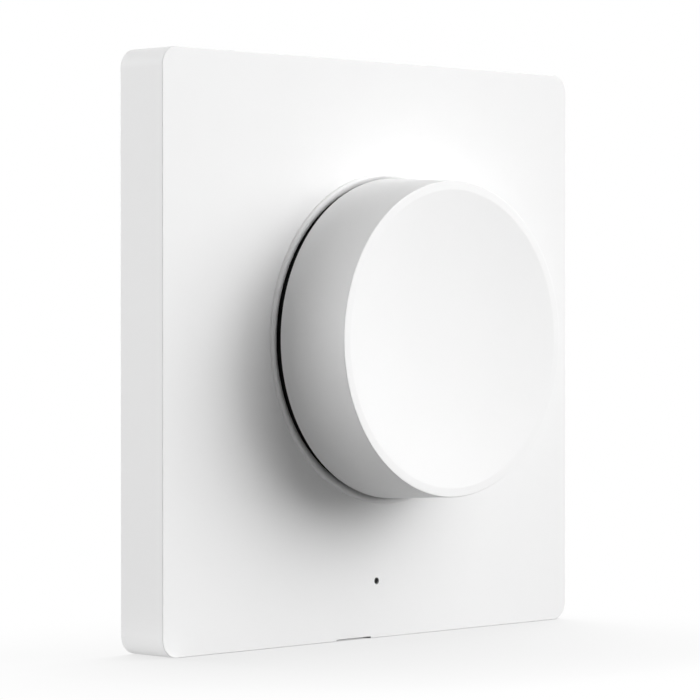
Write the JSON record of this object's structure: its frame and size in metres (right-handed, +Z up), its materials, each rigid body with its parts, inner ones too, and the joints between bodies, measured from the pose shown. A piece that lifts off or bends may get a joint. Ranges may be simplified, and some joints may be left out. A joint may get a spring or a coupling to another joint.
{
  "type": "wireless dimmer switch",
  "caption": "Square white wall panel with a large round dished knob that turns to dim and presses to switch, on a screw-on or stick-on tray with a coin cell inside.",
  "frame": {"origin": "middle of the flat back, on the wall plane", "axes": "+Z up, +X to the right seen from the front, the front and the knob face -Y"},
  "size_m": [0.086, 0.0225, 0.086],
  "materials": {
    "white_shell": "smooth satin moulded white",
    "white_knob": "smooth satin moulded white",
    "black_plastic": "fine textured black",
    "hub_plastic": "matte black",
    "case_plastic": "matte black",
    "rotor_plastic": "natural nylon",
    "smoked_plastic": "smoked clear",
    "led_resin": "clear yellow resin",
    "foam_tape": "closed foam with a paper liner",
    "board_laminate": "green solder mask",
    "module_laminate": "blue solder mask",
    "screw_steel": "zinc plated",
    "sheet_steel": "tinned",
    "spring_steel": "bright rolled",
    "turned_metal": "turned",
    "contact_metal": "rolled strip",
    "cell_can": "pressed nickel-plated can"
  },
  "bodies": {
    "base": {"face_panel": "white_shell", "base_frame": "black_plastic", "adhesive_pads": "foam_tape", "circuit_board": "board_laminate", "board_screws": "screw_steel", "encoder_case": "case_plastic", "encoder_bracket": "sheet_steel", "encoder_bushing": "turned_metal", "encoder_pins": "contact_metal", "detent_spring": "spring_steel", "push_dome": "spring_steel", "radio_board": "module_laminate", "radio_shield": "sheet_steel", "indicator_led": "led_resin", "light_pipe": "smoked_plastic", "coin_cell": "cell_can", "cell_clip": "contact_metal", "cell_spring": "contact_metal"},
    "rotor": {"encoder_rotor": "rotor_plastic"},
    "knob": {"encoder_shaft": "turned_metal", "knob_hub": "hub_plastic", "grip_ring": "spring_steel", "knob_cap": "white_knob"}
  },
  "joints": [
    {"name": "knob_turn", "type": "hinge", "parent": "base", "child": "rotor", "pos_m": [0.0025, -0.009, 0.0017], "axis": [0, 1, 0], "continuous": true},
    {"name": "knob_press", "type": "slide", "parent": "rotor", "child": "knob", "axis": [0, 1, 0], "range_m": [0, 0.0006], "stiffness_N_per_m": 3000, "springref_m": -0.0003}
  ]
}
